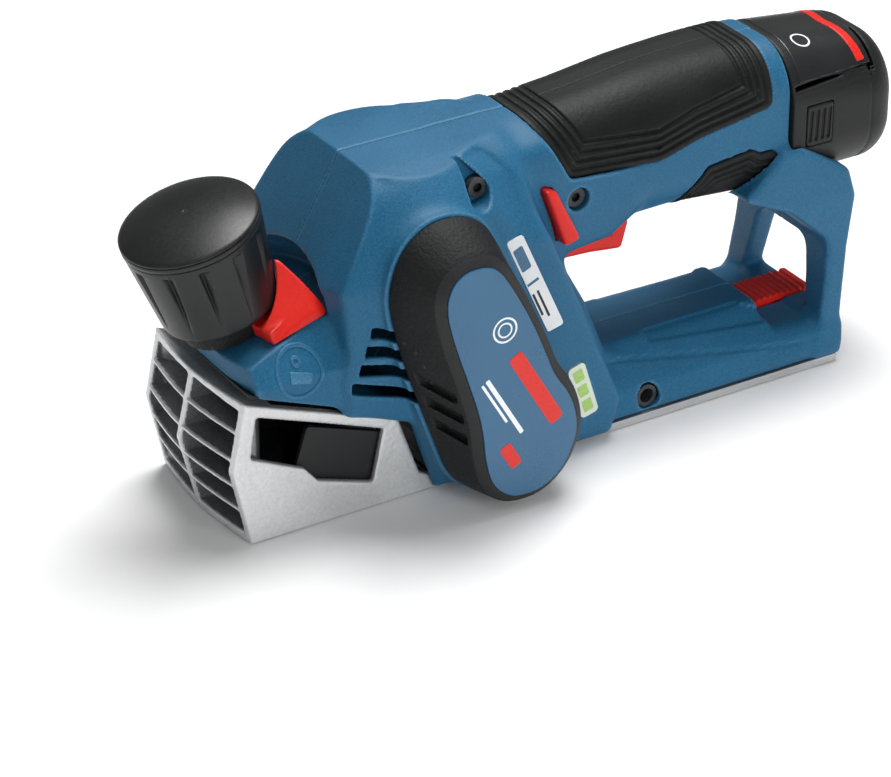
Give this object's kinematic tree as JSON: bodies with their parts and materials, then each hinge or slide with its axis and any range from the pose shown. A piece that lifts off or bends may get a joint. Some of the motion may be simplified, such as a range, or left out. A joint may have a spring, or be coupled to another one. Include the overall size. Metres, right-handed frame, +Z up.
{
  "type": "cordless electric hand planer",
  "caption": "Compact battery hand planer: clamshell body, turning depth knob and rising front shoe, belt driven cutter drum, side chip outlets, pull-out battery.",
  "frame": {"origin": "point on the underside of the rear sole, on the clamshell's parting plane, 21 mm behind the drum axis", "axes": "+X towards the battery end, the tool cuts towards -X; +Z up, away from the wood; -Y is the belt cover side"},
  "size_m": [0.2676, 0.089, 0.1142],
  "materials": {
    "housing_plastic": "fine textured moulded plastic",
    "black_plastic": "fine textured moulded plastic",
    "grip_rubber": "soft overmould",
    "red_plastic": "satin",
    "badge_plastic": "satin",
    "label_film": "printed film",
    "lens_green": "translucent lens",
    "cast_metal": "cast, lightly blasted",
    "sole_metal": "milled",
    "steel": "ground",
    "dark_steel": "blackened",
    "blade_steel": "ground and polished",
    "brass_part": "turned",
    "copper_part": "varnished winding",
    "belt_rubber": "matt",
    "board": "lacquered",
    "cell_wrap": "shrink film"
  },
  "bodies": {
    "housing": {"housing_left": "housing_plastic", "housing_right": "housing_plastic", "grip_left": "grip_rubber", "grip_right": "grip_rubber", "rear_grip_pads": "grip_rubber", "housing_screws": "dark_steel", "rear_sole": "sole_metal", "rear_sole_screws": "steel", "guide_inserts": "brass_part", "belt_cover": "black_plastic", "belt_cover_badge": "badge_plastic", "belt_cover_screws": "dark_steel", "spec_label": "label_film", "charge_indicator": "lens_green", "indicator_leds": "board", "drum_bearings": "steel", "motor_stator": "copper_part", "motor_can": "steel", "motor_bearings": "steel", "drive_belt": "belt_rubber", "shoe_guide_pins": "steel", "shoe_seal": "belt_rubber", "switch_module": "black_plastic", "terminal_block": "black_plastic", "control_board": "board", "trigger_spring": "steel"},
    "shoe": {"front_shoe": "cast_metal", "side_panels": "black_plastic"},
    "deflector": {"chip_deflector": "black_plastic"},
    "knob": {"depth_knob": "black_plastic", "depth_scale_ring": "black_plastic", "knob_cap": "black_plastic", "depth_spindle": "steel"},
    "lever": {"chip_lever": "red_plastic"},
    "drum": {"cutter_drum": "steel", "planer_blade": "blade_steel", "blade_clamp": "steel", "blade_screws": "dark_steel", "driven_pulley": "sole_metal"},
    "motor": {"motor_rotor": "steel", "drive_pulley": "sole_metal", "cooling_fan": "black_plastic"},
    "trigger": {"trigger": "red_plastic"},
    "lock_off": {"lock_off_button": "red_plastic"},
    "battery": {"battery_case": "black_plastic", "battery_label": "label_film", "battery_cells": "cell_wrap", "battery_contacts": "brass_part"},
    "latch_left": {"battery_latch_left": "black_plastic"},
    "latch_right": {"battery_latch_right": "black_plastic"},
    "key_holder": {"key_holder": "red_plastic", "hex_key": "steel"}
  },
  "joints": [
    {"name": "depth_knob_turn", "type": "hinge", "parent": "housing", "child": "knob", "pos_m": [-0.0967, 0, 0.064], "axis": [-0.2924, 0, 0.9563], "range_deg": [0, 330.5]},
    {"name": "shoe_lift", "type": "slide", "parent": "housing", "child": "shoe", "axis": [-0.2924, 0, 0.9563], "range_m": [0, 0.00209]},
    {"name": "chip_lever_swing", "type": "hinge", "parent": "housing", "child": "lever", "pos_m": [-0.0967, 0, 0.064], "axis": [-0.2924, 0, 0.9563], "range_deg": [0, 114]},
    {"name": "deflector_swing", "type": "hinge", "parent": "shoe", "child": "deflector", "pos_m": [-0.075, 0, 0.02], "axis": [0, 0, 1], "range_deg": [-54.5, 0.5]},
    {"name": "drum_spin", "type": "hinge", "parent": "housing", "child": "drum", "pos_m": [-0.021, 0, 0.022], "axis": [0, 1, 0], "continuous": true},
    {"name": "motor_spin", "type": "hinge", "parent": "housing", "child": "motor", "pos_m": [-0.039, 0, 0.076], "axis": [0, 1, 0], "continuous": true},
    {"name": "trigger_pull", "type": "hinge", "parent": "housing", "child": "trigger", "pos_m": [0.0215, 0, 0.0642], "axis": [0, -1, 0], "range_deg": [0, 9], "stiffness_Nm_per_rad": 0.6, "springref_deg": -6.88, "deforming": ["trigger_spring"]},
    {"name": "lock_off_push", "type": "slide", "parent": "housing", "child": "lock_off", "axis": [0, 1, 0], "range_m": [0, 0.0025], "stiffness_N_per_m": 400, "springref_m": -0.002},
    {"name": "battery_slide", "type": "slide", "parent": "housing", "child": "battery", "axis": [1, 0, 0], "range_m": [0, 0.075]},
    {"name": "latch_left_press", "type": "slide", "parent": "battery", "child": "latch_left", "axis": [0, 1, 0], "range_m": [0, 0.0015], "stiffness_N_per_m": 900, "springref_m": -0.001},
    {"name": "latch_right_press", "type": "slide", "parent": "battery", "child": "latch_right", "axis": [0, -1, 0], "range_m": [0, 0.0015], "stiffness_N_per_m": 900, "springref_m": -0.001},
    {"name": "key_holder_slide", "type": "slide", "parent": "housing", "child": "key_holder", "axis": [1, 0, 0], "range_m": [0, 0.03]}
  ],
  "couplings": [
    {"joint": "depth_knob_turn", "follows": "shoe_lift", "rad_per_m": 2755.8},
    {"joint": "deflector_swing", "follows": "chip_lever_swing", "ratio": -0.47368},
    {"joint": "motor_spin", "follows": "drum_spin", "ratio": 1.25}
  ]
}
